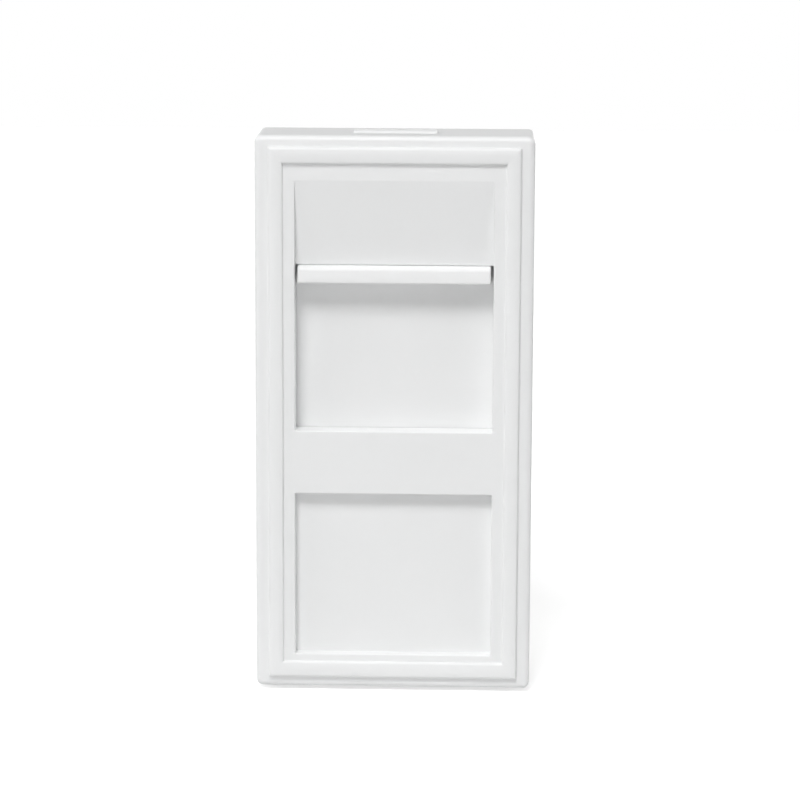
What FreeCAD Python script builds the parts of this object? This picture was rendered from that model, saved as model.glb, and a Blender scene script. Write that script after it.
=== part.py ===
import FreeCAD, Part
import os
import Sketcher

# A shuttered data outlet module: the half-width insert that snaps into a wall plate.
# X runs to the right, Z up, and the face looks along -Y. The origin is the middle of the frame's
# rear rim. "Forward" distances grow from that rim towards the face, so forward is -Y.

SIZES = {
    # front frame
    "module_width": 24.7,
    "module_height": 50.0,
    "body_depth": 6.8,
    "side_wall": 1.2,
    "front_wall": 2.05,
    "corner_round": 0.6,
    "side_border": 1.2,
    "end_border": 1.0,
    "border_round": 0.5,
    "side_bead": 1.3,
    "end_bead": 1.45,
    "bead_rise": 0.45,
    "bead_round": 0.22,
    "crown_width": 0.4,
    "crown_drop": 0.07,
    "crown_round": 2.0,
    "field_drop": 0.35,
    "field_round": 0.18,
    "opening_margin": 1.05,
    "opening_round": 0.12,
    "lip_round": 0.1,
    "window_margin": 1.5,
    "window_bottom": -1.4,
    "scoop_height": 7.6,
    "scoop_depth": 1.05,
    "label_top": -7.1,
    "label_margin": 0.65,
    "label_depth": 1.0,
    "nib_width": 7.4,
    "nib_height": 0.35,
    "nib_setback": 2.4,
    "nib_face": 0.1,
    "nib_crest": 0.5,
    "nib_lead": 1.0,
    # shutter and its spring
    "face_gap": 0.05,
    "slide_gap": 0.15,
    "shutter_plate": 1.3,
    "shutter_overlap": 0.9,
    "bar_gap": 0.03,
    "bar_end_gap": 0.25,
    "bar_height": 1.52,
    "bar_flat": 0.45,
    "bar_lean": 0.15,
    "bar_crown_round": 4.0,
    "bar_thumb_round": 0.5,
    "bar_edge_round": 0.15,
    "foot_height": 1.8,
    "foot_gap": 0.2,
    "stop_gap": 0.1,
    "peg_radius": 0.6,
    "peg_length": 1.5,
    "spring_diameter": 2.4,
    "spring_wire": 0.3,
    "spring_turns": 7,
    "spring_inset": 0.35,
    "spring_room": 0.25,
    "groove_room": 0.4,
    # rear carrier
    "fit_gap": 0.1,
    "carrier_plate": 1.35,
    "carrier_rim": 0.9,
    "carrier_recess": 0.2,
    "spring_seat": 1.0,
    "ridge_wall": 1.0,
    "rib_width": 1.0,
    "rib_level": -13.0,
    "bay_gap": 0.15,
    "bay_wall": 1.1,
    "bay_depth": 6.5,
    "ledge_depth": 1.5,
    "lip_room": 1.25,
    "latch_room": 2.45,
    "catch_inset": 0.5,
    "catch_level": 15.0,
    "catch_length": 4.0,
    "catch_depth": 1.0,
    "catch_rise": 0.3,
    # jack housing
    "jack_setback": 0.05,
    "jack_width": 14.4,
    "jack_height": 16.0,
    "jack_bottom": -1.0,
    "flange_depth": 1.8,
    "latch_drop": 1.7,
    "latch_width": 7.0,
    "latch_thick": 1.0,
    "latch_run": 1.3,
    "latch_rise": 1.6,
    "latch_tail": 4.5,
    "tab_height": 1.2,
    "hook_gap": 0.15,
    "hook_width": 10.0,
    "hook_drop": 1.1,
    "hook_flat": 1.35,
    "hook_lead": 1.0,
    "shoulder_width": 0.9,
    "shoulder_depth": 2.35,
    "shoulder_margin": 2.0,
    "port_width": 11.7,
    "port_bottom": 4.2,
    "port_top": 10.95,
    "port_depth": 12.7,
    "key_width": 6.2,
    "key_height": 1.6,
    "notch_width": 3.4,
    "notch_height": 1.3,
    "mouth_bevel": 0.25,
    "flange_round": 0.3,
    # contact sled and contacts
    "sled_width": 11.8,
    "sled_seat": 1.6,
    "sled_gap": 0.1,
    "sled_height": 1.45,
    "sled_front_wall": 2.3,
    "contact_pitch": 1.02,
    "contact_width": 0.42,
    "contact_thick": 0.3,
    "contact_room": 0.1,
    "contact_headroom": 0.15,
    "contact_groove": 1.05,
    "contact_inset": 0.2,
    "contact_turn": 1.15,
    "contact_drop": 2.35,
    "contact_tip_gap": 1.0,
    "contact_tail": 0.85,
    "contact_outer_round": 0.45,
    "contact_inner_round": 0.15,
    # board, terminal block and blades
    "board_gap": 0.05,
    "board_thick": 1.2,
    "board_margin": 0.3,
    "board_wall": 0.2,
    "contact_hole": 0.35,
    "blade_hole": 0.42,
    "base_depth": 3.0,
    "row_depth": 9.0,
    "row_height": 4.0,
    "row_bevel": 0.7,
    "slot_pitch": 3.4,
    "slot_width": 0.8,
    "slot_depth": 7.0,
    "blade_width": 2.3,
    "blade_thick": 0.4,
    "blade_room": 0.1,
    "blade_cover": 0.8,
    "blade_slit": 0.28,
    "blade_slit_length": 5.8,
    "blade_mouth": 0.9,
    "blade_mouth_depth": 1.0,
    "blade_foot": 0.7,
    "blade_tail": 0.6,
    "blade_tail_length": 0.8,
}
CONTACTS = 8
SLOTS = 4
WIRE_SIDES = 6

doc = FreeCAD.newDocument("shuttered_outlet_module")
sheet = doc.addObject("Spreadsheet::Sheet", "sizes")
for row, (alias, size) in enumerate(SIZES.items(), start=1):
    sheet.set(f"A{row}", alias)
    sheet.set(f"B{row}", str(size))
    sheet.setAlias(f"B{row}", alias)
doc.recompute()

# Places that several pieces share, as expressions on the sheet.
HALF_WIDTH = "(sizes.module_width / 2)"
HALF_HEIGHT = "(sizes.module_height / 2)"
BEAD_FRONT = "(sizes.body_depth + sizes.bead_rise)"
FIELD_FRONT = f"({BEAD_FRONT} - sizes.field_drop)"
WALL_BACK = f"({FIELD_FRONT} - sizes.front_wall)"
HALF_CAVITY_X = f"({HALF_WIDTH} - sizes.side_wall)"
HALF_CAVITY_Z = f"({HALF_HEIGHT} - sizes.side_wall)"
BEAD_X = f"({HALF_WIDTH} - sizes.side_border)"
BEAD_Z = f"({HALF_HEIGHT} - sizes.end_border)"
BEAD_EDGE = f"({BEAD_FRONT} - sizes.crown_drop)"
FIELD_X = f"({BEAD_X} - sizes.side_bead)"
FIELD_Z = f"({BEAD_Z} - sizes.end_bead)"
HALF_OPENING = f"({FIELD_X} - sizes.opening_margin)"
WINDOW_TOP = f"({FIELD_Z} - sizes.window_margin)"
SCOOP_BOTTOM = f"({WINDOW_TOP} - sizes.scoop_height)"
LABEL_BOTTOM = f"(sizes.label_margin - {FIELD_Z})"

SHUTTER_FRONT = f"({WALL_BACK} - sizes.face_gap)"
SHUTTER_BACK = f"({SHUTTER_FRONT} - sizes.shutter_plate)"
BAR_TOP = f"({SCOOP_BOTTOM} - sizes.bar_gap)"
BAR_BOTTOM = f"({BAR_TOP} - sizes.bar_height)"

CARRIER_FRONT = f"({SHUTTER_BACK} - sizes.slide_gap)"
CARRIER_BACK = f"({CARRIER_FRONT} - sizes.carrier_plate)"
HALF_CARRIER_X = f"({HALF_CAVITY_X} - sizes.fit_gap)"
HALF_CARRIER_Z = f"({HALF_CAVITY_Z} - sizes.fit_gap)"
HALF_RAIL = f"({HALF_CARRIER_X} - sizes.carrier_rim)"
CATCH_FRONT = "(sizes.carrier_recess + sizes.catch_inset + sizes.catch_depth)"

JACK_FRONT = f"({CARRIER_FRONT} - sizes.jack_setback)"
PORT_BACK = f"({JACK_FRONT} - sizes.port_depth)"
JACK_BACK = f"({PORT_BACK} - sizes.sled_seat)"
JACK_TOP = "(sizes.jack_bottom + sizes.jack_height)"
JACK_ROOF = f"({JACK_TOP} - sizes.latch_drop)"
HALF_JACK = "(sizes.jack_width / 2)"
NOTCH_BOTTOM = "(sizes.port_bottom - sizes.key_height - sizes.notch_height)"

HALF_BAY = f"({HALF_JACK} + sizes.bay_gap)"
BAY_BOTTOM = "(sizes.jack_bottom - sizes.bay_gap)"
BAY_TOP = f"({JACK_TOP} + sizes.bay_gap)"
BAY_BACK = f"({CARRIER_BACK} - sizes.bay_depth)"
LEDGE_FRONT = f"({BAY_BACK} + sizes.ledge_depth)"
CHAMBER_BOTTOM = f"({BAY_BOTTOM} - sizes.lip_room)"
CHAMBER_TOP = f"({BAY_TOP} + sizes.latch_room)"

SPRING_AXIS = f"({CARRIER_FRONT} - sizes.spring_inset)"
GROOVE_TOP = f"({CHAMBER_BOTTOM} - sizes.bay_wall)"
GROOVE_BOTTOM = f"(sizes.spring_seat - {HALF_CARRIER_Z})"
GROOVE_BACK = f"({SPRING_AXIS} - sizes.spring_diameter / 2 - sizes.spring_room)"
HALF_GROOVE = "(sizes.spring_diameter / 2 + sizes.groove_room)"
FOOT_TOP = f"({GROOVE_TOP} - sizes.stop_gap)"
SHUTTER_BOTTOM = f"({FOOT_TOP} - sizes.foot_height)"

SLED_BACK = f"({JACK_BACK} + sizes.sled_gap)"
SLED_FRONT = f"({JACK_FRONT} - sizes.sled_front_wall - sizes.sled_gap)"
SLED_BOTTOM = "(sizes.port_top + sizes.sled_gap / 2)"
SLED_TOP = f"({SLED_BOTTOM} + sizes.sled_height)"
CONTACT_TOP = f"({SLED_BOTTOM} + sizes.contact_groove - sizes.contact_headroom)"

BOARD_FRONT = f"({JACK_BACK} - sizes.board_gap)"
BOARD_BACK = f"({BOARD_FRONT} - sizes.board_thick)"
BOARD_POCKET = f"({BOARD_BACK} - sizes.board_gap)"
BASE_BACK = f"({JACK_BACK} - sizes.base_depth)"
ROW_BACK = f"({BASE_BACK} - sizes.row_depth)"
BLADE_END = f"({ROW_BACK} + sizes.blade_cover + sizes.blade_room)"
ROW_LEVELS = {
    "upper": f"({JACK_ROOF} - sizes.row_height / 2)",
    "lower": "(sizes.jack_bottom + sizes.row_height / 2)",
}


def value(expression):
    return float(sheet.evalExpression(expression))


def spread(index, count, pitch):
    """Place of one of several equal steps, centred on zero."""
    return f"({index - (count - 1) / 2} * {pitch})"


CONTACT_PLACES = [spread(i, CONTACTS, "sizes.contact_pitch") for i in range(CONTACTS)]
SLOT_PLACES = [spread(i, SLOTS, "sizes.slot_pitch") for i in range(SLOTS)]


def rectangle(left, right, bottom, top):
    return [(left, bottom), (right, bottom), (right, top), (left, top)]


def centred(half_x, half_z):
    return rectangle(f"-{half_x}", half_x, f"-{half_z}", half_z)


def between(half_x, bottom, top):
    return rectangle(f"-{half_x}", half_x, bottom, top)


def new_body(label):
    body = doc.addObject("PartDesign::Body", label)
    body.Label = label
    return body


def new_sketch(body, name, role, offset):
    sketch = body.newObject("Sketcher::SketchObject", name)
    plane = next(item for item in body.Origin.OriginFeatures if item.Role == role)
    sketch.AttachmentSupport = (plane, [""])
    sketch.MapMode = "FlatFace"
    sketch.setExpression("AttachmentOffset.Base.z", offset)
    return sketch


def pin_point(sketch, geometry, point, place):
    """Ties one point of a sketch to its two expressions."""
    for kind, expression in zip(("DistanceX", "DistanceY"), place):
        rule = Sketcher.Constraint(kind, -1, 1, geometry, point, value(expression))
        index = sketch.addConstraint(rule)
        sketch.setExpression(f"Constraints[{index}]", expression)


def draw_loop(sketch, corners):
    points = [FreeCAD.Vector(value(u), value(v), 0) for u, v in corners]
    first = sketch.GeometryCount
    count = len(points)
    for index, point in enumerate(points):
        sketch.addGeometry(Part.LineSegment(point, points[(index + 1) % count]))
    for index in range(count):
        following = first + (index + 1) % count
        sketch.addConstraint(Sketcher.Constraint("Coincident", first + index, 2, following, 1))
    for index, corner in enumerate(corners):
        pin_point(sketch, first + index, 1, corner)


def draw_circle(sketch, centre, radius):
    point = FreeCAD.Vector(value(centre[0]), value(centre[1]), 0)
    up = FreeCAD.Vector(0, 0, 1)
    index = sketch.addGeometry(Part.Circle(point, up, value(radius)))
    pin_point(sketch, index, 3, centre)
    rule = sketch.addConstraint(Sketcher.Constraint("Radius", index, value(radius)))
    sketch.setExpression(f"Constraints[{rule}]", radius)


def face_sketch(body, name, forward, loops):
    """Loops of (x, z) corners on a plane facing the front."""
    sketch = new_sketch(body, name, "XZ_Plane", forward)
    for corners in loops:
        draw_loop(sketch, corners)
    return sketch


def side_sketch(body, name, corners):
    """One loop of (forward, z) corners on the middle plane, seen from the side."""
    sketch = new_sketch(body, name, "YZ_Plane", "0")
    draw_loop(sketch, [(f"-{forward}", level) for forward, level in corners])
    return sketch


def feature(body, kind, sketch, length, flipped=False, both_ways=False):
    """Pads or pockets a sketch and makes sure that the solid really changed."""
    before = 0 if body.Shape.isNull() else body.Shape.Volume
    item = body.newObject(kind, sketch.Name + "_solid")
    item.Profile = sketch
    item.setExpression("Length", length)
    item.Reversed = flipped
    item.Midplane = both_ways
    doc.recompute()
    change = item.Shape.Volume - before
    grows = kind == "PartDesign::Pad"
    if (change > 0) != grows or abs(change) < 1e-6:
        raise RuntimeError(f"{item.Label} in {body.Label} changed the solid by {change}")
    return item


def pad(body, name, forward, loops, length, backward=False):
    sketch = face_sketch(body, name, forward, loops)
    return feature(body, "PartDesign::Pad", sketch, length, flipped=backward)


def cut(body, name, forward, loops, length, towards_front=False):
    sketch = face_sketch(body, name, forward, loops)
    return feature(body, "PartDesign::Pocket", sketch, length, flipped=towards_front)


def slope(body, kind, name, back, front):
    """Sloped sides between two loops, each given with its forward distance."""
    sections = [
        face_sketch(body, f"{name}_{end}", forward, [loop])
        for end, (forward, loop) in (("back", back), ("front", front))
    ]
    item = body.newObject(kind, name)
    item.Profile = sections[0]
    item.Sections = [(sections[1], [""])]
    item.Ruled = True
    doc.recompute()
    if not item.Shape.isValid():
        raise RuntimeError(f"{name} failed in {body.Label}")
    return item


def side_pad(body, name, corners, width):
    sketch = side_sketch(body, name, corners)
    return feature(body, "PartDesign::Pad", sketch, width, both_ways=True)


def side_cut(body, name, corners, width):
    sketch = side_sketch(body, name, corners)
    return feature(body, "PartDesign::Pocket", sketch, width, both_ways=True)


def peg(body, name, level, downward):
    sketch = new_sketch(body, name, "XY_Plane", level)
    draw_circle(sketch, ("0", f"-{SPRING_AXIS}"), "sizes.peg_radius")
    return feature(body, "PartDesign::Pad", sketch, "sizes.peg_length", flipped=downward)


def pick_edges(body, wanted):
    shape = body.Tip.Shape
    names = [f"Edge{number}" for number, edge in enumerate(shape.Edges, start=1) if wanted(edge)]
    if not names:
        raise RuntimeError(f"no edge found in {body.Label}")
    return names


def rim_edges(body, forward, half_x, bottom, top, reach):
    """Edges in a plane facing the front that follow a rectangle, with corners rounded up to reach."""
    plane_y = -value(forward)
    limit_x = value(half_x)
    low, high = value(bottom), value(top)
    room = value(reach) + 1e-3

    def follows(point):
        inside = abs(point.x) < limit_x + 1e-3 and low - 1e-3 < point.z < high + 1e-3
        near = min(limit_x - abs(point.x), point.z - low, high - point.z) < room
        return abs(point.y - plane_y) < 1e-4 and inside and near

    def wanted(edge):
        middle = edge.valueAt((edge.FirstParameter + edge.LastParameter) / 2)
        return all(follows(point) for point in [vertex.Point for vertex in edge.Vertexes] + [middle])

    return pick_edges(body, wanted)


def straight_edges(body, axis, places):
    """Edges along "x" or "y" that stand at the given pairs of the other two coordinates."""
    others = {"x": ("y", "z"), "y": ("x", "z")}[axis]

    def wanted(edge):
        box = edge.BoundBox
        sides = {"x": box.XLength, "y": box.YLength, "z": box.ZLength}
        if max(sides[name] for name in others) > 1e-4:
            return False
        seat = [getattr(edge.CenterOfMass, name) for name in others]
        return any(abs(seat[0] - u) + abs(seat[1] - v) < 2e-3 for u, v in places)

    return pick_edges(body, wanted)


def corners_of(half_x, bottom, top):
    """The four plan corners of an opening or block, as numbers."""
    return [(side * value(half_x), value(level)) for side in (-1, 1) for level in (bottom, top)]


def dress(body, kind, name, edges, size):
    """Rounds or bevels the named edges of the body as it stands."""
    item = body.newObject(kind, name)
    item.Base = (body.Tip if body.Tip != item else item.BaseFeature, edges)
    item.setExpression("Size" if kind == "PartDesign::Chamfer" else "Radius", size)
    doc.recompute()
    if not item.Shape.isValid():
        raise RuntimeError(f"{name} failed in {body.Label}")
    return item


def round_edges(body, name, edges, radius):
    return dress(body, "PartDesign::Fillet", name, edges, radius)


def build_front_frame():
    body = new_body("front_frame")
    pad(body, "block", "0", [centred(HALF_WIDTH, HALF_HEIGHT)], "sizes.body_depth")
    outer_corners = corners_of(HALF_WIDTH, f"-{HALF_HEIGHT}", HALF_HEIGHT)
    round_edges(body, "outer_corners", straight_edges(body, "y", outer_corners), "sizes.corner_round")
    border = rim_edges(body, "sizes.body_depth", HALF_WIDTH, f"-{HALF_HEIGHT}", HALF_HEIGHT,
                       "sizes.corner_round")
    round_edges(body, "border_edge", border, "sizes.border_round")

    raise_bead(body)
    cut(body, "cavity", "0", [centred(HALF_CAVITY_X, HALF_CAVITY_Z)], WALL_BACK, towards_front=True)
    cut_openings(body)
    for side in (1, -1):
        add_nib(body, side)
    cut_catch_pockets(body)
    return body


def raise_bead(body):
    """The crowned bead round the face, and the flat field inside it."""
    crest_x, crest_z = f"({BEAD_X} - sizes.crown_width)", f"({BEAD_Z} - sizes.crown_width)"
    brink_x, brink_z = f"({FIELD_X} + sizes.crown_width)", f"({FIELD_Z} + sizes.crown_width)"
    pad(body, "bead", "sizes.body_depth", [centred(BEAD_X, BEAD_Z)],
        "(sizes.bead_rise - sizes.crown_drop)")
    slope(body, "PartDesign::AdditiveLoft", "crown_outside",
          (BEAD_EDGE, centred(BEAD_X, BEAD_Z)), (BEAD_FRONT, centred(crest_x, crest_z)))
    slope(body, "PartDesign::SubtractiveLoft", "crown_inside",
          (BEAD_EDGE, centred(FIELD_X, FIELD_Z)), (BEAD_FRONT, centred(brink_x, brink_z)))
    cut(body, "field", BEAD_EDGE, [centred(FIELD_X, FIELD_Z)],
        "(sizes.field_drop - sizes.crown_drop)")
    for name, level, half_x, half_z, radius in (
        ("brink", BEAD_FRONT, brink_x, brink_z, "sizes.crown_round"),
        ("crest", BEAD_FRONT, crest_x, crest_z, "sizes.crown_round"),
        ("bead_edge", BEAD_EDGE, BEAD_X, BEAD_Z, "sizes.bead_round"),
        ("field_edge", BEAD_EDGE, FIELD_X, FIELD_Z, "sizes.field_round"),
    ):
        round_edges(body, name, rim_edges(body, level, half_x, f"-{half_z}", half_z, "0"), radius)


def cut_openings(body):
    """The window with its finger scoop, and the label recess below it."""
    window = between(HALF_OPENING, "sizes.window_bottom", SCOOP_BOTTOM)
    cut(body, "window", FIELD_FRONT, [window], "sizes.front_wall")
    label = between(HALF_OPENING, LABEL_BOTTOM, "sizes.label_top")
    cut(body, "label", FIELD_FRONT, [label], "sizes.label_depth")
    for bottom, top in (("sizes.window_bottom", SCOOP_BOTTOM), (LABEL_BOTTOM, "sizes.label_top")):
        corners = straight_edges(body, "y", corners_of(HALF_OPENING, bottom, top))
        round_edges(body, "opening_corners", corners, "sizes.opening_round")
        lip = rim_edges(body, FIELD_FRONT, HALF_OPENING, bottom, top, "sizes.opening_round")
        round_edges(body, "opening_lip", lip, "sizes.lip_round")
    scoop_foot = f"({FIELD_FRONT} - sizes.scoop_depth)"
    scoop_start = f"({SCOOP_BOTTOM} - sizes.opening_round)"
    scoop = [
        (FIELD_FRONT, scoop_start),
        (FIELD_FRONT, WINDOW_TOP),
        (scoop_foot, SCOOP_BOTTOM),
        (scoop_foot, scoop_start),
    ]
    side_cut(body, "scoop", scoop, f"(2 * {HALF_OPENING})")


def add_nib(body, side):
    """A snap ridge across the top or bottom wall, steep in front and sloped behind."""
    root = f"({side} * {HALF_HEIGHT})"
    crest = f"({side} * ({HALF_HEIGHT} + sizes.nib_height))"
    front = "(sizes.body_depth - sizes.nib_setback)"
    crest_front = f"({front} - sizes.nib_face)"
    crest_back = f"({crest_front} - sizes.nib_crest)"
    back = f"({crest_back} - sizes.nib_lead)"
    corners = [(front, root), (crest_front, crest), (crest_back, crest), (back, root)]
    side_pad(body, "nib", corners, "sizes.nib_width")


def catch_rectangles(inner, outer, room):
    """Four catches, left and right, high and low."""
    reach = f"(sizes.catch_length / 2 + {room})"
    loops = []
    for level in ("sizes.catch_level", "-sizes.catch_level"):
        bottom, top = f"({level} - {reach})", f"({level} + {reach})"
        loops.append(rectangle(inner, outer, bottom, top))
        loops.append(rectangle(f"-{outer}", f"-{inner}", bottom, top))
    return loops


def cut_catch_pockets(body):
    outer = f"({HALF_CAVITY_X} + sizes.catch_rise)"
    front = f"({CATCH_FRONT} + sizes.fit_gap)"
    loops = catch_rectangles(HALF_CAVITY_X, outer, "2 * sizes.fit_gap")
    cut(body, "catch_pockets", front, loops, "(sizes.catch_depth + 2 * sizes.fit_gap)")


def build_shutter():
    body = new_body("shutter")
    half_plate = f"({HALF_RAIL} - sizes.slide_gap)"
    plate_top = f"({BAR_TOP} + sizes.shutter_overlap)"
    pad(body, "plate", SHUTTER_BACK, [between(half_plate, SHUTTER_BOTTOM, plate_top)],
        "sizes.shutter_plate")
    add_bar(body)
    half_foot = f"({HALF_GROOVE} - sizes.foot_gap)"
    foot_back = f"({GROOVE_BACK} + sizes.foot_gap)"
    pad(body, "foot", SHUTTER_BACK, [between(half_foot, SHUTTER_BOTTOM, FOOT_TOP)],
        f"({SHUTTER_BACK} - {foot_back})", backward=True)
    peg(body, "spring_peg", SHUTTER_BOTTOM, downward=True)
    return body


def add_bar(body):
    """The finger bar, with a crowned front and a rounded thumb edge."""
    half_bar = f"({HALF_OPENING} - sizes.bar_end_gap)"
    thumb_front = f"({FIELD_FRONT} - sizes.bar_lean)"
    crown_level = f"({BAR_BOTTOM} + sizes.bar_flat)"
    bar = [
        (SHUTTER_FRONT, BAR_BOTTOM),
        (FIELD_FRONT, BAR_BOTTOM),
        (FIELD_FRONT, crown_level),
        (thumb_front, BAR_TOP),
        (SHUTTER_FRONT, BAR_TOP),
    ]
    side_pad(body, "bar", bar, f"(2 * {half_bar})")

    def round_along(name, forward, level, radius):
        edge = straight_edges(body, "x", [(-value(forward), value(level))])
        round_edges(body, name, edge, radius)

    round_along("bar_crown", FIELD_FRONT, crown_level, "sizes.bar_crown_round")
    round_along("bar_thumb_edge", thumb_front, BAR_TOP, "sizes.bar_thumb_round")
    ends = straight_edges(body, "y", corners_of(half_bar, BAR_TOP, BAR_TOP))
    round_edges(body, "bar_ends", ends, "sizes.bar_edge_round")
    round_along("bar_under_edge", FIELD_FRONT, BAR_BOTTOM, "sizes.bar_edge_round")


def build_spring():
    """A coil between the carrier's seat and the shutter's foot."""
    mean_radius = "(sizes.spring_diameter / 2 - sizes.spring_wire / 2)"
    coil_height = f"({SHUTTER_BOTTOM} - {GROOVE_BOTTOM} - sizes.spring_wire)"
    start = f"({GROOVE_BOTTOM} + sizes.spring_wire / 2)"
    helix = doc.addObject("Part::Helix", "spring_path")
    helix.setExpression("Radius", mean_radius)
    helix.setExpression("Height", coil_height)
    helix.setExpression("Pitch", f"{coil_height} / sizes.spring_turns")
    wire = doc.addObject("Part::RegularPolygon", "spring_section")
    wire.Polygon = WIRE_SIDES
    wire.setExpression("Circumradius", "sizes.spring_wire / 2")
    wire.Placement.Rotation = FreeCAD.Rotation(FreeCAD.Vector(1, 0, 0), 90)
    wire.setExpression("Placement.Base.x", mean_radius)
    for item in (helix, wire):
        item.setExpression("Placement.Base.y", f"-{SPRING_AXIS}")
        item.setExpression("Placement.Base.z", start)
    spring = doc.addObject("Part::Sweep", "shutter_spring")
    spring.Label = "shutter_spring"
    spring.Sections = [wire]
    spring.Spine = (helix, ["Edge1"])
    spring.Solid = True
    spring.Frenet = True
    return spring


def build_rear_carrier():
    body = new_body("rear_carrier")
    pad(body, "plate", CARRIER_BACK, [centred(HALF_CARRIER_X, HALF_CARRIER_Z)], "sizes.carrier_plate")
    rim = [centred(HALF_CARRIER_X, HALF_CARRIER_Z)]
    rim.append(centred(HALF_RAIL, f"({HALF_CARRIER_Z} - sizes.carrier_rim)"))
    pad(body, "rim", "sizes.carrier_recess", rim, f"({WALL_BACK} - sizes.carrier_recess)")
    add_bay(body)
    add_spring_ridge(body)
    catch_outer = f"({HALF_CARRIER_X} + sizes.catch_rise)"
    catches = catch_rectangles(HALF_CARRIER_X, catch_outer, "0")
    pad(body, "catches", CATCH_FRONT, catches, "sizes.catch_depth", backward=True)
    return body


def add_bay(body):
    """A square tube for the jack, with a ledge above and below for its latch and lip."""
    tube = between(f"({HALF_BAY} + sizes.bay_wall)", f"({CHAMBER_BOTTOM} - sizes.bay_wall)",
                   f"({CHAMBER_TOP} + sizes.bay_wall)")
    pad(body, "bay", CARRIER_BACK, [tube], "sizes.bay_depth", backward=True)
    cut(body, "bay_bore", CARRIER_FRONT, [between(HALF_BAY, BAY_BOTTOM, BAY_TOP)],
        f"({CARRIER_FRONT} - {BAY_BACK})")
    cut(body, "bay_chamber", CARRIER_BACK, [between(HALF_BAY, CHAMBER_BOTTOM, CHAMBER_TOP)],
        f"({CARRIER_BACK} - {LEDGE_FRONT})")


def add_spring_ridge(body):
    """The spring's groove in front, its ridge behind, and a rib across."""
    ridge_back = f"({GROOVE_BACK} - sizes.ridge_wall)"
    ridge = between(f"({HALF_GROOVE} + sizes.ridge_wall)", f"-{HALF_CARRIER_Z}", GROOVE_TOP)
    pad(body, "ridge", CARRIER_BACK, [ridge], f"({CARRIER_BACK} - {ridge_back})", backward=True)
    rib = between(HALF_CARRIER_X, "(sizes.rib_level - sizes.rib_width / 2)",
                  "(sizes.rib_level + sizes.rib_width / 2)")
    pad(body, "rib", CARRIER_BACK, [rib], f"({CARRIER_BACK} - {ridge_back})", backward=True)
    cut(body, "groove", CARRIER_FRONT, [between(HALF_GROOVE, GROOVE_BOTTOM, GROOVE_TOP)],
        f"({CARRIER_FRONT} - {GROOVE_BACK})")
    peg(body, "spring_peg", GROOVE_BOTTOM, downward=False)


def build_jack_housing():
    body = new_body("jack_housing")
    depth = f"({JACK_FRONT} - {JACK_BACK})"
    pad(body, "block", JACK_BACK, [between(HALF_JACK, "sizes.jack_bottom", JACK_ROOF)], depth)
    pad(body, "flange", f"({JACK_FRONT} - sizes.flange_depth)",
        [between(HALF_JACK, "sizes.jack_bottom", JACK_TOP)], "sizes.flange_depth")
    flange = rim_edges(body, JACK_FRONT, HALF_JACK, "sizes.jack_bottom", JACK_TOP, "0")
    round_edges(body, "flange_edge", flange, "sizes.flange_round")
    add_latch(body)
    add_lip_and_shoulders(body)
    cut_port(body)
    half_sled = "(sizes.sled_width / 2 + sizes.sled_gap)"
    sled_roof = f"({SLED_TOP} + sizes.sled_gap)"
    cut(body, "sled_channel", JACK_BACK, [between(half_sled, "sizes.port_top", sled_roof)],
        f"({depth} - sizes.sled_front_wall)", towards_front=True)
    cut(body, "sled_seat", JACK_BACK, [between(half_sled, NOTCH_BOTTOM, sled_roof)],
        "sizes.sled_seat", towards_front=True)
    return body


def add_latch(body):
    """The springy arm on top: root at the flange, a catch before the ledge, a thumb tab behind."""
    root = f"({JACK_FRONT} - sizes.flange_depth)"
    arm_bottom = f"({JACK_TOP} - sizes.latch_thick)"
    catch_back = f"({LEDGE_FRONT} + sizes.hook_gap)"
    crest = f"({JACK_TOP} + sizes.latch_rise)"
    arm_end = f"({BAY_BACK} - sizes.latch_tail)"
    tab_front = f"({arm_end} + sizes.latch_thick)"
    tab_top = f"({JACK_TOP} + sizes.tab_height)"
    arm = [
        (root, arm_bottom),
        (root, JACK_TOP),
        (f"({root} - sizes.latch_run)", JACK_TOP),
        (catch_back, crest),
        (catch_back, JACK_TOP),
        (tab_front, JACK_TOP),
        (tab_front, tab_top),
        (arm_end, tab_top),
        (arm_end, arm_bottom),
    ]
    side_pad(body, "latch", arm, "sizes.latch_width")


def add_lip_and_shoulders(body):
    """The fixed lip below, and shoulders that stop the jack against the back of the bay."""
    catch_back = f"({LEDGE_FRONT} + sizes.hook_gap)"
    lip_bottom = "(sizes.jack_bottom - sizes.hook_drop)"
    flat_front = f"({catch_back} + sizes.hook_flat)"
    lip = [
        (catch_back, "sizes.jack_bottom"),
        (catch_back, lip_bottom),
        (flat_front, lip_bottom),
        (f"({flat_front} + sizes.hook_lead)", "sizes.jack_bottom"),
    ]
    side_pad(body, "lip", lip, "sizes.hook_width")
    shoulder_front = f"({BAY_BACK} - sizes.hook_gap)"
    shoulder = between(f"({HALF_JACK} + sizes.shoulder_width)",
                       "(sizes.jack_bottom + sizes.shoulder_margin)",
                       f"({JACK_ROOF} - sizes.shoulder_margin)")
    pad(body, "shoulders", f"({shoulder_front} - sizes.shoulder_depth)", [shoulder],
        "sizes.shoulder_depth")


def cut_port(body):
    """The plug opening with its two-step key slot below, and a bevelled mouth."""
    half_port = "sizes.port_width / 2"
    half_key = "sizes.key_width / 2"
    half_notch = "sizes.notch_width / 2"
    key_bottom = "(sizes.port_bottom - sizes.key_height)"
    right_side = [
        (half_port, "sizes.port_top"),
        (half_port, "sizes.port_bottom"),
        (half_key, "sizes.port_bottom"),
        (half_key, key_bottom),
        (half_notch, key_bottom),
        (half_notch, NOTCH_BOTTOM),
    ]
    left_side = [(f"-({x})", level) for x, level in reversed(right_side)]
    cut(body, "port", JACK_FRONT, [right_side + left_side], "sizes.port_depth")
    mouth = rim_edges(body, JACK_FRONT, half_port, NOTCH_BOTTOM, "sizes.port_top", half_port)
    dress(body, "PartDesign::Chamfer", "port_mouth", mouth, "sizes.mouth_bevel")


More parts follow.
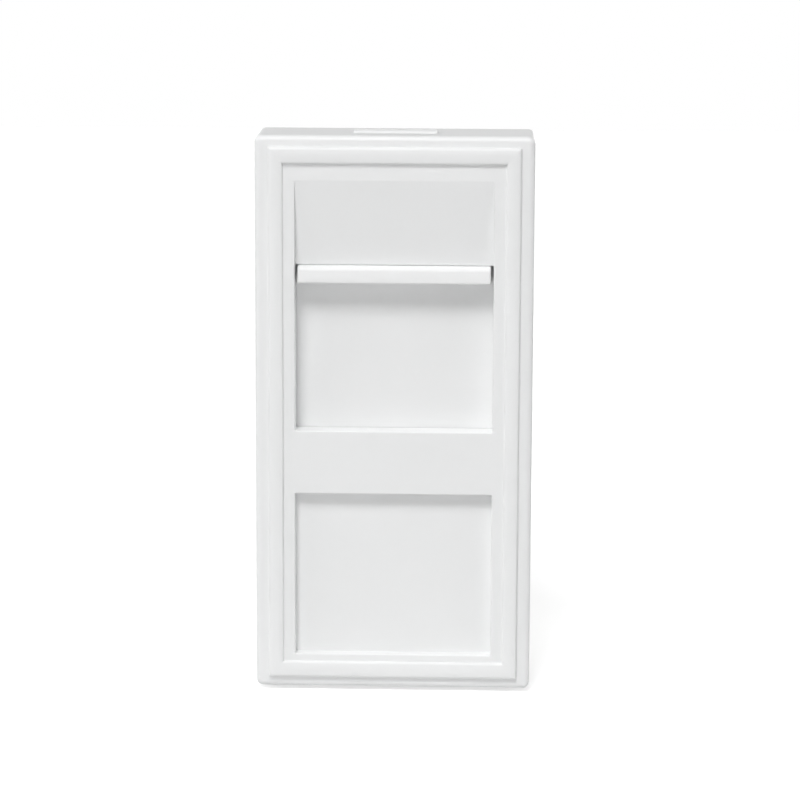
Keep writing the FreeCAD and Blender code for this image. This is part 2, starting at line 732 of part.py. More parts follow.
def build_contact_sled():
    body = new_body("contact_sled")
    half_sled = "(sizes.sled_width / 2)"
    pad(body, "deck", SLED_BACK, [between(half_sled, SLED_BOTTOM, SLED_TOP)],
        f"({SLED_FRONT} - {SLED_BACK})")
    pad(body, "end_wall", SLED_BACK, [between(half_sled, f"({NOTCH_BOTTOM} + sizes.sled_gap)", SLED_TOP)],
        f"({PORT_BACK} - sizes.sled_gap - {SLED_BACK})")
    half_groove = "(sizes.contact_width / 2 + sizes.contact_room)"
    groove_top = f"({SLED_BOTTOM} + sizes.contact_groove)"
    grooves = []
    for place in CONTACT_PLACES:
        grooves.append(rectangle(f"({place} - {half_groove})", f"({place} + {half_groove})",
                                 SLED_BOTTOM, groove_top))
    cut(body, "grooves", SLED_FRONT, grooves, f"({SLED_FRONT} - {SLED_BACK})")
    return body


def build_contact(number, place):
    """A flat spring: a tail in the board, a run along its groove, a turn and a sloping leg."""
    body = new_body(f"contact_{number}")
    front = f"({SLED_FRONT} - sizes.contact_inset)"
    inner_front = f"({front} - sizes.contact_thick)"
    inner_top = f"({CONTACT_TOP} - sizes.contact_thick)"
    turn_bottom = f"({CONTACT_TOP} - sizes.contact_turn)"
    tail = f"({BOARD_FRONT} - sizes.contact_tail)"
    tip = f"({PORT_BACK} + sizes.contact_tip_gap)"
    tip_bottom = f"({turn_bottom} - sizes.contact_drop)"
    slope = f"(sizes.contact_drop / ({front} - {tip}))"
    inner_bottom = f"({turn_bottom} + sizes.contact_thick * (1 - {slope}))"
    profile = [
        (tail, inner_top),
        (tail, CONTACT_TOP),
        (front, CONTACT_TOP),
        (front, turn_bottom),
        (tip, tip_bottom),
        (tip, f"({tip_bottom} + sizes.contact_thick)"),
        (inner_front, inner_bottom),
        (inner_front, inner_top),
    ]
    sketch = new_sketch(body, "strip", "YZ_Plane", place)
    draw_loop(sketch, [(f"-{forward}", level) for forward, level in profile])
    feature(body, "PartDesign::Pad", sketch, "sizes.contact_width", both_ways=True)
    outer = [(-value(front), value(CONTACT_TOP)), (-value(front), value(turn_bottom))]
    round_edges(body, "outer_turn", straight_edges(body, "x", outer), "sizes.contact_outer_round")
    inner = [(-value(inner_front), value(inner_top)), (-value(inner_front), value(inner_bottom))]
    round_edges(body, "inner_turn", straight_edges(body, "x", inner), "sizes.contact_inner_round")
    return body


def build_circuit_board():
    body = new_body("circuit_board")
    outline = between(f"({HALF_JACK} - sizes.board_margin)", "(sizes.jack_bottom + sizes.board_margin)",
                      f"({JACK_ROOF} - sizes.board_margin)")
    pad(body, "laminate", BOARD_BACK, [outline], "sizes.board_thick")
    holes = new_sketch(body, "holes", "XZ_Plane", BOARD_FRONT)
    contact_level = f"({CONTACT_TOP} - sizes.contact_thick / 2)"
    for place in CONTACT_PLACES:
        draw_circle(holes, (place, contact_level), "sizes.contact_hole")
    for level in ROW_LEVELS.values():
        for place in SLOT_PLACES:
            draw_circle(holes, (place, level), "sizes.blade_hole")
    feature(body, "PartDesign::Pocket", holes, "sizes.board_thick")
    return body


def build_terminal_block():
    body = new_body("terminal_block")
    outline = between(HALF_JACK, "sizes.jack_bottom", JACK_ROOF)
    pad(body, "base", BASE_BACK, [outline], "sizes.base_depth")
    seat = between(f"({HALF_JACK} - sizes.board_wall)", "(sizes.jack_bottom + sizes.board_wall)",
                   f"({JACK_ROOF} - sizes.board_wall)")
    cut(body, "board_seat", JACK_BACK, [seat], f"({JACK_BACK} - {BOARD_POCKET})")
    bevel_front = f"({ROW_BACK} + sizes.row_bevel)"
    for level in ROW_LEVELS.values():
        bottom = f"({level} - sizes.row_height / 2)"
        top = f"({level} + sizes.row_height / 2)"
        row_profile = [
            (BASE_BACK, bottom),
            (BASE_BACK, top),
            (bevel_front, top),
            (ROW_BACK, f"({top} - sizes.row_bevel)"),
            (ROW_BACK, f"({bottom} + sizes.row_bevel)"),
            (bevel_front, bottom),
        ]
        side_pad(body, "row", row_profile, "sizes.jack_width")
    slots = []
    pockets = []
    half_slot = "sizes.slot_width / 2"
    half_blade = "(sizes.blade_width / 2 + sizes.blade_room)"
    half_thick = "(sizes.blade_thick / 2 + sizes.blade_room)"
    for place in SLOT_PLACES:
        slots.append(rectangle(f"({place} - {half_slot})", f"({place} + {half_slot})",
                               "sizes.jack_bottom", JACK_ROOF))
        for level in ROW_LEVELS.values():
            pockets.append(rectangle(f"({place} - {half_blade})", f"({place} + {half_blade})",
                                     f"({level} - {half_thick})", f"({level} + {half_thick})"))
    cut(body, "wire_slots", ROW_BACK, slots, "sizes.slot_depth", towards_front=True)
    cut(body, "blade_pockets", BOARD_POCKET, pockets,
        f"({BOARD_POCKET} - {ROW_BACK} - sizes.blade_cover)")
    return body


def build_blade(label, place, level):
    """A flat fork: a slit with a flared mouth for the wire, and a tail for the board."""
    body = new_body(label)
    half_blade, half_slit = "sizes.blade_width / 2", "sizes.blade_slit / 2"
    half_mouth, half_tail = "sizes.blade_mouth / 2", "sizes.blade_tail / 2"
    foot = f"({BOARD_BACK} - sizes.blade_foot)"
    right_side = [
        (half_tail, f"({BOARD_BACK} + sizes.blade_tail_length)"),
        (half_tail, foot),
        (half_blade, foot),
        (half_blade, BLADE_END),
        (half_mouth, BLADE_END),
        (half_slit, f"({BLADE_END} + sizes.blade_mouth_depth)"),
        (half_slit, f"({BLADE_END} + sizes.blade_slit_length)"),
    ]
    fork = [(f"({place} + {x})", f"-{forward}") for x, forward in right_side]
    fork += [(f"({place} - {x})", f"-{forward}") for x, forward in reversed(right_side)]
    sketch = new_sketch(body, "fork", "XY_Plane", level)
    draw_loop(sketch, fork)
    feature(body, "PartDesign::Pad", sketch, "sizes.blade_thick", both_ways=True)
    return body


def build_all():
    pieces = [build_front_frame(), build_shutter(), build_spring(), build_rear_carrier()]
    pieces += [build_jack_housing(), build_contact_sled(), build_circuit_board(), build_terminal_block()]
    for number, place in enumerate(CONTACT_PLACES, start=1):
        pieces.append(build_contact(number, place))
    for row_name, level in ROW_LEVELS.items():
        for number, place in enumerate(SLOT_PLACES, start=1):
            pieces.append(build_blade(f"blade_{row_name}_{number}", place, level))
    return pieces


pieces = build_all()
doc.recompute()
failed = [item.Label for item in doc.Objects if {"Invalid", "Error"} & set(item.State)]
failed += [item.Label for item in pieces if item.Shape.isNull() or not item.Shape.isValid()]
if failed:
    raise RuntimeError(f"not built: {failed}")

os.makedirs("parts", exist_ok=True)
for item in pieces:
    item.Shape.exportStep(f"parts/{item.Label}.step")
    box = item.Shape.BoundBox
    print(f"{item.Label}: {item.Shape.Volume:.2f} mm3, {box.XLength:.2f} x {box.YLength:.2f} x {box.ZLength:.2f}")
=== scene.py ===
import math

import bmesh
import bpy
from mathutils import Matrix, Vector


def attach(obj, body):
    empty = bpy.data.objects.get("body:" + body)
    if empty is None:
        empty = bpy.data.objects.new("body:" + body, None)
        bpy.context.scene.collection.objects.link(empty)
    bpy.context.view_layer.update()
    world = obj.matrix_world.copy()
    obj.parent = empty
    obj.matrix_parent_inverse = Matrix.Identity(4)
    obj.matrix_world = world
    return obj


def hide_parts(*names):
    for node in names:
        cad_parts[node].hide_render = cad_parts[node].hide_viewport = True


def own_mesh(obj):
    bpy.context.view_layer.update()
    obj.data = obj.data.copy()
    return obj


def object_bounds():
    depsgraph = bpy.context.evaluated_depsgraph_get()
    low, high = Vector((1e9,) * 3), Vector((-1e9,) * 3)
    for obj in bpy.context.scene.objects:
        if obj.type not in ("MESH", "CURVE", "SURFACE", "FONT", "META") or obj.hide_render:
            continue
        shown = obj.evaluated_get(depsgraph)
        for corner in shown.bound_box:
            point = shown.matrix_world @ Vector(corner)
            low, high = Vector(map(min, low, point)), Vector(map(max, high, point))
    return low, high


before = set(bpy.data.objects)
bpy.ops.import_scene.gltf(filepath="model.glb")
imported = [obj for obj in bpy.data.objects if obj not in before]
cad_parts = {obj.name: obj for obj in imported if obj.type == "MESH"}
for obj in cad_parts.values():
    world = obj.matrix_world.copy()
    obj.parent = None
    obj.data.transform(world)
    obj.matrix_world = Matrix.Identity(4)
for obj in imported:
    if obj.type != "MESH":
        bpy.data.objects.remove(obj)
cad_low, cad_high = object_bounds()
scene = bpy.context.scene

# Camera at the photograph's viewing angle: degrees, metres, and a focal length in pixels
# of a picture 800 pixels wide.
VIEW_AZIMUTH = 1.768
VIEW_ELEVATION = 10.725
VIEW_ROLL = 0.240
VIEW_DISTANCE = 0.27516
VIEW_AIM = Vector((0.000574, -0.0069, 0.00151))
FOCAL_PIXELS = 3094.98
PICTURE_PIXELS = 800
SENSOR_WIDTH = 36.0
CLIP_NEAR = 0.01
CLIP_FAR = 50.0

# Studio: a weak even sky, seen as white, and broad disc lamps. Each lamp has its azimuth from the
# front towards the right and its elevation, in degrees, its disc's size in metres and its watts.
SKY_LEVEL = 0.05
WHITE_LEVEL = 1.0
LAMP_DISTANCE = 1.6
LAMPS = {
    "key_lamp": (-15.0, 53.0, 0.55, 13.0),
    "top_right_lamp": (15.0, 56.0, 1.0, 3.4),
    "front_lamp": (-20.0, 14.0, 1.0, 3.4),
    "left_lamp": (-75.0, 32.0, 1.0, 7.0),
    "right_lamp": (75.0, 12.0, 1.0, 4.8),
    "back_left_lamp": (-155.0, 5.0, 0.4, 7.0),
    "back_right_lamp": (155.0, 5.0, 0.4, 7.0),
}

# Floor: half its side in metres, its colour, and a glow that lifts it to white in view.
FLOOR_HALF = 0.5
FLOOR_SQUARES = 2
FLOOR_COLOUR = (0.8, 0.8, 0.8)
FLOOR_GLOW = 0.6

# Outer walls of the front frame, in metres: where their painted shade, a darker colour, and their
# duller skin start behind the border, and how much rougher the skin is.
FRAME_HALF_WIDTH = 0.01235
FRAME_HALF_HEIGHT = 0.025
WALL_THICKNESS = 0.0012
WALL_FRONT_Y = -0.0064
WALL_BLEND = 0.0002
WALL_DULLNESS = 0.12

# Snap nibs, in metres: the strip at the foot of the catch face kept bright as a painted highlight,
# left out of the walls' painted shade, by its height above the wall and by the end of the catch
# face.
NIB_HIGHLIGHT_FOOT = 0.000005
NIB_HIGHLIGHT_TOP = 0.00017
NIB_CATCH_END_Y = -0.0042
NIB_BLEND = 0.00003

# Ejector pin marks on the back of the carrier, in metres.
EJECTOR_X = 0.0064
EJECTOR_LEVELS = (-0.0182, -0.0080, 0.0211)
EJECTOR_RADIUS = 0.0012
EJECTOR_RIM = 0.00012
EJECTOR_DEPTH = 0.00006

# Noise in the finishes: the part of its range that is used, its detail by kind, the shares of
# flow and grain in the gloss, and the scale per metre of the clouds in the metals.
NOISE_LOW = 0.3
NOISE_HIGH = 0.7
GRAIN_DETAIL = 3.0
FLOW_DETAIL = 2.0
FLOW_SWIRL = 0.6
FLOW_IN_GLOSS = 0.6
GRAIN_IN_GLOSS = 0.4
CLOUD_SCALE = 900.0
CLOUD_DETAIL = 2.0
DRAW_LINE_DETAIL = 3.0

# Broken edges: the agreement of turned normal and face at which the edge mask is full, and the
# radius on metal in metres.
EDGE_SAMPLES = 6
EDGE_AGREEMENT = 0.85
METAL_EDGE_RADIUS = 0.00004

# Skins of the moulded plastics and the board: noise scales per metre and range of roughness.
SATIN = {"Grain Scale": 9000.0, "Flow Scale": 160.0, "Rough Low": 0.38, "Rough High": 0.46}
GLOSS = {"Grain Scale": 11000.0, "Flow Scale": 200.0, "Rough Low": 0.30, "Rough High": 0.38}
SILK = {"Grain Scale": 10000.0, "Flow Scale": 180.0, "Rough Low": 0.50, "Rough High": 0.58}
MATTE = {"Grain Scale": 6000.0, "Flow Scale": 220.0, "Rough Low": 0.48, "Rough High": 0.60}
LACQUER = {"Grain Scale": 5000.0, "Flow Scale": 400.0, "Rough Low": 0.28, "Rough High": 0.42}

# Moulded plastics by slot: colours, edge radius and grain depth in metres, and strengths.
MOULDINGS = {
    "frame_plastic": ("frame_white", {
        "pale": (0.842, 0.847, 0.848), "deep": (0.832, 0.838, 0.839), "edge": (0.855, 0.859, 0.860),
        # wall: painted shade, a darker colour for the frame's outer walls.
        "wall": (0.725, 0.729, 0.730), "skin": SATIN, "edge_radius": 0.00015,
        "grain_depth": 0.00002, "grain": 0.12, "specular": 0.5,
    }),
    "shutter_plastic": ("shutter_white", {
        "pale": (0.846, 0.850, 0.851), "deep": (0.836, 0.841, 0.842), "edge": (0.858, 0.862, 0.863),
        "skin": SILK, "edge_radius": 0.00018,
        "grain_depth": 0.00002, "grain": 0.10, "specular": 0.4,
    }),
    "carrier_plastic": ("carrier_white", {
        "pale": (0.80, 0.80, 0.785), "deep": (0.78, 0.78, 0.765), "edge": (0.82, 0.82, 0.81),
        "pin_rim": (0.55, 0.55, 0.54), "skin": MATTE, "edge_radius": 0.00010,
        "grain_depth": 0.00003, "grain": 0.25, "specular": 0.4,
    }),
    "jack_plastic": ("jack_white", {
        "pale": (0.815, 0.815, 0.805), "deep": (0.80, 0.80, 0.79), "edge": (0.84, 0.84, 0.83),
        "skin": GLOSS, "edge_radius": 0.00010,
        "grain_depth": 0.00002, "grain": 0.15, "specular": 0.5,
    }),
    "terminal_plastic": ("terminal_white", {
        "pale": (0.80, 0.80, 0.79), "deep": (0.785, 0.785, 0.775), "edge": (0.83, 0.83, 0.82),
        "skin": GLOSS, "edge_radius": 0.00010,
        "grain_depth": 0.00002, "grain": 0.18, "specular": 0.5,
    }),
    "sled_plastic": ("sled_black", {
        "pale": (0.030, 0.030, 0.033), "deep": (0.022, 0.022, 0.025), "edge": (0.06, 0.06, 0.065),
        "skin": MATTE, "edge_radius": 0.00008,
        "grain_depth": 0.00003, "grain": 0.3, "specular": 0.45,
    }),
}

# Metals by slot: colours, draw lines per metre across and along the metal, the range of their
# roughness, and the depth in metres and strength of those lines.
METALS = {
    "contact_gilt": ("contact_gold", {
        "bright": (0.95, 0.72, 0.30), "dull": (0.86, 0.61, 0.22),
        "lines": {"Across": 16000.0, "Along": 600.0, "Rough Low": 0.14, "Rough High": 0.26},
        "line_depth": 0.000008, "line_strength": 0.3,
    }),
    "blade_tin": ("blade_tinned", {
        "bright": (0.80, 0.79, 0.76), "dull": (0.66, 0.65, 0.63),
        "lines": {"Across": 12000.0, "Along": 900.0, "Rough Low": 0.24, "Rough High": 0.42},
        "line_depth": 0.00001, "line_strength": 0.4,
    }),
    "spring_steel": ("spring_wire", {
        "bright": (0.70, 0.70, 0.70), "dull": (0.55, 0.55, 0.56),
        "lines": {"Across": 9000.0, "Along": 1200.0, "Rough Low": 0.20, "Rough High": 0.34},
        "line_depth": 0.00001, "line_strength": 0.3,
    }),
}

# Circuit board: colours, the weave's radians per metre, its depth in metres and strength, and how
# far a surface faces front or back where the bare edge ends and where the lacquer is full.
LACQUER_DARK = (0.03, 0.17, 0.07)
LACQUER_LIGHT = (0.05, 0.24, 0.10)
LAMINATE_DARK = (0.42, 0.36, 0.20)
LAMINATE_LIGHT = (0.52, 0.46, 0.28)
WEAVE_SCALE = 9000.0
WEAVE_DEPTH = 0.00001
WEAVE_STRENGTH = 0.4
BARE_EDGE_FACING = 0.6
LACQUERED_FACING = 0.8

# Return spring of the shutter: places and radii in metres, its open and closed turns, and the steps
# per turn and sides of its wire.
SPRING_AXIS_Y = -0.0030
SPRING_FOOT_Z = -0.0227
SPRING_HEAD_Z = -0.0054
SPRING_RADIUS = 0.00105
SPRING_WIRE_RADIUS = 0.00015
SPRING_OPEN_TURNS = 6
SPRING_CLOSED_TURNS = 1
SPRING_STEPS_PER_TURN = 32
SPRING_WIRE_SIDES = 12

# Places of the colour sockets on a Mix node, whose names repeat.
MIX_FIRST_COLOUR = 6
MIX_SECOND_COLOUR = 7
MIX_COLOUR_RESULT = 2


def direction(azimuth, elevation):
    """Unit vector from the object, with angles in degrees from the front and the floor."""
    around, above = math.radians(azimuth), math.radians(elevation)
    return Vector((
        math.sin(around) * math.cos(above),
        -math.cos(around) * math.cos(above),
        math.sin(above),
    ))


def place_camera():
    azimuth = math.radians(VIEW_AZIMUTH)
    roll = math.radians(VIEW_ROLL)
    back = direction(VIEW_AZIMUTH, VIEW_ELEVATION)
    level = Vector((math.cos(azimuth), math.sin(azimuth), 0.0))
    upright = back.cross(level)
    right = math.cos(roll) * level + math.sin(roll) * upright
    up = math.cos(roll) * upright - math.sin(roll) * level
    lens = bpy.data.cameras.new("photo_camera")
    lens.sensor_width = SENSOR_WIDTH
    lens.lens = FOCAL_PIXELS / PICTURE_PIXELS * SENSOR_WIDTH
    lens.clip_start = CLIP_NEAR
    lens.clip_end = CLIP_FAR
    camera = bpy.data.objects.new("photo_camera", lens)
    turn = Matrix((right, up, back)).transposed().to_4x4()
    camera.matrix_world = Matrix.Translation(VIEW_AIM + VIEW_DISTANCE * back) @ turn
    scene.collection.objects.link(camera)
    scene.camera = camera


def place_mesh(name, shape, finish):
    """Turns a finished bmesh into an object of the scene with one material."""
    mesh = bpy.data.meshes.new(name)
    shape.to_mesh(mesh)
    shape.free()
    mesh.materials.append(finish)
    piece = bpy.data.objects.new(name, mesh)
    scene.collection.objects.link(piece)
    return piece


def join(tree, entry, socket):
    """Joins an output to a socket, or sets the socket to a number or a colour."""
    if isinstance(entry, bpy.types.NodeSocket):
        tree.links.new(entry, socket)
    elif isinstance(entry, tuple):
        socket.default_value = (*entry, 1.0)
    else:
        socket.default_value = entry


def add_node(tree, kind, **settings):
    node = tree.nodes.new(kind)
    for name, setting in settings.items():
        setattr(node, name, setting)
    return node


def math_node(tree, operation, *entries):
    node = add_node(tree, "ShaderNodeMath", operation=operation)
    for entry, socket in zip(entries, node.inputs):
        join(tree, entry, socket)
    return node.outputs[0]


def ramp_value(tree, entry, low, high, from_low=NOISE_LOW, from_high=NOISE_HIGH):
    """Carries the range from_low to from_high over to low to high, and holds it there."""
    node = add_node(tree, "ShaderNodeMapRange", clamp=True)
    join(tree, entry, node.inputs["Value"])
    join(tree, from_low, node.inputs["From Min"])
    join(tree, from_high, node.inputs["From Max"])
    join(tree, low, node.inputs["To Min"])
    join(tree, high, node.inputs["To Max"])
    return node.outputs["Result"]


def mix_colours(tree, mask, first, second):
    node = add_node(tree, "ShaderNodeMix", data_type="RGBA")
    join(tree, mask, node.inputs["Factor"])
    join(tree, first, node.inputs[MIX_FIRST_COLOUR])
    join(tree, second, node.inputs[MIX_SECOND_COLOUR])
    return node.outputs[MIX_COLOUR_RESULT]


def noise(tree, where, scale, detail, swirl=0.0):
    node = add_node(tree, "ShaderNodeTexNoise")
    join(tree, where, node.inputs["Vector"])
    join(tree, scale, node.inputs["Scale"])
    join(tree, detail, node.inputs["Detail"])
    join(tree, swirl, node.inputs["Distortion"])
    return node.outputs[0]


def object_place(tree):
    """The shaded point's place in the object, in metres."""
    return add_node(tree, "ShaderNodeTexCoord").outputs["Object"]


def split_axes(tree, vector):
    node = add_node(tree, "ShaderNodeSeparateXYZ")
    join(tree, vector, node.inputs[0])
    return node.outputs


def view_ray_mask(tree):
    """One for rays from the camera, from a glossy reflection or through glass."""
    path = add_node(tree, "ShaderNodeLightPath")
    seen = math_node(tree, "MAXIMUM", path.outputs["Is Camera Ray"], path.outputs["Is Glossy Ray"])
    return math_node(tree, "MAXIMUM", seen, path.outputs["Is Transmission Ray"])


def paint_sky():
    """A weak sky for the light on the object, and white where it is seen."""
    world = bpy.data.worlds.new("studio_sky")
    scene.world = world
    world.use_nodes = True
    tree = world.node_tree
    tree.nodes.clear()
    blend = add_node(tree, "ShaderNodeMixShader")
    join(tree, view_ray_mask(tree), blend.inputs[0])
    for strength, socket in zip((SKY_LEVEL, WHITE_LEVEL), blend.inputs[1:]):
        layer = add_node(tree, "ShaderNodeBackground")
        join(tree, (1.0, 1.0, 1.0), layer.inputs["Color"])
        join(tree, strength, layer.inputs["Strength"])
        join(tree, layer.outputs[0], socket)
    result = add_node(tree, "ShaderNodeOutputWorld")
    join(tree, blend.outputs[0], result.inputs["Surface"])


def hang_lamps():
    for name, (azimuth, elevation, size, watts) in LAMPS.items():
        lamp = bpy.data.lights.new(name, "AREA")
        lamp.shape = "DISK"
        lamp.size = size
        lamp.energy = watts
        stand = bpy.data.objects.new(name, lamp)
        towards = direction(azimuth, elevation)
        stand.location = towards * LAMP_DISTANCE
        stand.rotation_mode = "QUATERNION"
        stand.rotation_quaternion = (-towards).to_track_quat("-Z", "Y")
        scene.collection.objects.link(stand)


def floor_paint():
    """A matte white that keeps shadows, with a glow for viewing rays alone."""
    paint = bpy.data.materials.new("floor_white")
    paint.use_nodes = True
    tree = paint.node_tree
    tree.nodes.clear()
    matte = add_node(tree, "ShaderNodeBsdfDiffuse")
    join(tree, FLOOR_COLOUR, matte.inputs["Color"])
    glow = add_node(tree, "ShaderNodeEmission")
    strength = math_node(tree, "MULTIPLY", view_ray_mask(tree), FLOOR_GLOW)
    join(tree, strength, glow.inputs["Strength"])
    both = add_node(tree, "ShaderNodeAddShader")
    join(tree, matte.outputs[0], both.inputs[0])
    join(tree, glow.outputs[0], both.inputs[1])
    result = add_node(tree, "ShaderNodeOutputMaterial")
    join(tree, both.outputs[0], result.inputs["Surface"])
    return paint


def lay_floor():
    sheet = bmesh.new()
    bmesh.ops.create_grid(sheet, x_segments=FLOOR_SQUARES, y_segments=FLOOR_SQUARES, size=FLOOR_HALF)
    floor = place_mesh("floor", sheet, floor_paint())
    floor.location = (0.0, 0.0, cad_low.z)


def new_group(name, numbers, results):
    """An empty node group with named number inputs and named outputs."""
    group = bpy.data.node_groups.new(name, "ShaderNodeTree")
    for label, usual in numbers.items():
        socket = group.interface.new_socket(label, in_out="INPUT", socket_type="NodeSocketFloat")
        socket.default_value = usual
    for label, kind in results.items():
        group.interface.new_socket(label, in_out="OUTPUT", socket_type=kind)
    start = add_node(group, "NodeGroupInput")
    end = add_node(group, "NodeGroupOutput")
    return group, start.outputs, end.inputs


def make_mould_skin():
    """Spark-eroded mould texture: fine grain, broad melt-flow tone and patchy gloss."""
    group, given, made = new_group("mould_skin", SATIN, {
        "Tone": "NodeSocketFloat",
        "Roughness": "NodeSocketFloat",
        "Height": "NodeSocketFloat",
    })
    where = object_place(group)
    grain = noise(group, where, given["Grain Scale"], GRAIN_DETAIL)
    flow = noise(group, where, given["Flow Scale"], FLOW_DETAIL, FLOW_SWIRL)
    patchy = math_node(
        group, "ADD",
        math_node(group, "MULTIPLY", flow, FLOW_IN_GLOSS),
        math_node(group, "MULTIPLY", grain, GRAIN_IN_GLOSS),
    )
    gloss = ramp_value(group, patchy, given["Rough Low"], given["Rough High"])
    join(group, ramp_value(group, flow, 0.0, 1.0), made["Tone"])
    join(group, gloss, made["Roughness"])
    join(group, grain, made["Height"])
    return group


def make_soft_edge():
    """Slightly broken edges: a normal that turns over them and a mask along them."""
    group, given, made = new_group("soft_edge", {"Edge Radius": METAL_EDGE_RADIUS}, {
        "Edge": "NodeSocketFloat",
        "Normal": "NodeSocketVector",
    })
    turned = add_node(group, "ShaderNodeBevel", samples=EDGE_SAMPLES)
    join(group, given["Edge Radius"], turned.inputs["Radius"])
    flat = add_node(group, "ShaderNodeNewGeometry")
    along = add_node(group, "ShaderNodeVectorMath", operation="DOT_PRODUCT")
    join(group, turned.outputs[0], along.inputs[0])
    join(group, flat.outputs["Normal"], along.inputs[1])
    edge = ramp_value(group, along.outputs["Value"], 1.0, 0.0, EDGE_AGREEMENT, 1.0)
    join(group, edge, made["Edge"])
    join(group, turned.outputs[0], made["Normal"])
    return group


def make_drawn_metal():
    """Metal strip or wire: fine draw lines along one direction, with patchy tone."""
    _, usual = METALS["spring_steel"]
    group, given, made = new_group("drawn_metal", usual["lines"], {
        "Tone": "NodeSocketFloat",
        "Roughness": "NodeSocketFloat",
        "Height": "NodeSocketFloat",
    })
    where = object_place(group)
    stretch = add_node(group, "ShaderNodeCombineXYZ")
    join(group, given["Across"], stretch.inputs["X"])
    join(group, given["Along"], stretch.inputs["Y"])
    join(group, given["Along"], stretch.inputs["Z"])
    scaled = add_node(group, "ShaderNodeVectorMath", operation="MULTIPLY")
    join(group, where, scaled.inputs[0])
    join(group, stretch.outputs[0], scaled.inputs[1])
    lines = noise(group, scaled.outputs[0], 1.0, DRAW_LINE_DETAIL)
    cloud = noise(group, where, CLOUD_SCALE, CLOUD_DETAIL)
    join(group, ramp_value(group, cloud, 0.0, 1.0), made["Tone"])
    gloss = ramp_value(group, lines, given["Rough Low"], given["Rough High"])
    join(group, gloss, made["Roughness"])
    join(group, lines, made["Height"])
    return group


def use_group(tree, group, values):
    node = add_node(tree, "ShaderNodeGroup", node_tree=group)
    for name, entry in values.items():
        join(tree, entry, node.inputs[name])
    return node.outputs


def new_finish(name):
    material = bpy.data.materials.new(name)
    material.use_nodes = True
    tree = material.node_tree
    shader = next(node for node in tree.nodes if node.type == "BSDF_PRINCIPLED")
    return material, tree, shader


def raise_bump(tree, height, depth, strength, normal=None):
    """Normal of a surface with this height, on top of another normal where one is given."""
    bump = add_node(tree, "ShaderNodeBump")
    join(tree, strength, bump.inputs["Strength"])
    join(tree, depth, bump.inputs["Distance"])
    join(tree, height, bump.inputs["Height"])
    if normal is not None:
        join(tree, normal, bump.inputs["Normal"])
    return bump.outputs[0]


def outer_wall_shade_mask(tree):
    """Painted shade mask: one on the frame's outer walls behind the border, apart from the painted
    highlight strip on each nib.
    """
    place = split_axes(tree, object_place(tree))
    reach = []
    for axis, half in (("X", FRAME_HALF_WIDTH), ("Z", FRAME_HALF_HEIGHT)):
        off_centre = math_node(tree, "ABSOLUTE", place[axis])
        reach.append(math_node(tree, "SUBTRACT", off_centre, half))
    outside = math_node(tree, "MAXIMUM", *reach)
    depth = place["Y"]
    rim = ramp_value(tree, outside, 0.0, 1.0, -WALL_THICKNESS - WALL_BLEND, -WALL_THICKNESS)
    behind = ramp_value(tree, depth, 0.0, 1.0, WALL_FRONT_Y, WALL_FRONT_Y + WALL_BLEND)
    wall = math_node(tree, "MULTIPLY", rim, behind)
    # Painted highlight: a strip at the foot of each nib's catch face is left out of the painted
    # shade.
    foot = ramp_value(tree, outside, 0.0, 1.0, NIB_HIGHLIGHT_FOOT, NIB_HIGHLIGHT_FOOT + NIB_BLEND)
    below = ramp_value(tree, outside, 1.0, 0.0, NIB_HIGHLIGHT_TOP, NIB_HIGHLIGHT_TOP + NIB_BLEND)
    catch = ramp_value(tree, depth, 1.0, 0.0, NIB_CATCH_END_Y - NIB_BLEND, NIB_CATCH_END_Y)
    painted_highlight = math_node(tree, "MULTIPLY", math_node(tree, "MULTIPLY", foot, below), catch)
    return math_node(tree, "MULTIPLY", wall, math_node(tree, "SUBTRACT", 1.0, painted_highlight))


def ejector_marks(tree, normal):
    """Faint round marks of the ejector pins: a sunk normal and a mask of their rims."""
    place = split_axes(tree, object_place(tree))
    sideways = math_node(tree, "ABSOLUTE", place["X"])
    across = math_node(tree, "SUBTRACT", sideways, EJECTOR_X)
    nearest = None
    for level in EJECTOR_LEVELS:
        offset = add_node(tree, "ShaderNodeCombineXYZ")
        join(tree, across, offset.inputs["X"])
        join(tree, math_node(tree, "SUBTRACT", place["Z"], level), offset.inputs["Z"])
        length = add_node(tree, "ShaderNodeVectorMath", operation="LENGTH")
        join(tree, offset.outputs[0], length.inputs[0])
        away = length.outputs["Value"]
        nearest = away if nearest is None else math_node(tree, "MINIMUM", nearest, away)
    height = ramp_value(tree, nearest, 0.0, 1.0, EJECTOR_RADIUS - EJECTOR_RIM, EJECTOR_RADIUS)
    sunk = raise_bump(tree, height, EJECTOR_DEPTH, 1.0, normal)
    rim = math_node(tree, "MULTIPLY", height, math_node(tree, "SUBTRACT", 1.0, height))
    return sunk, rim


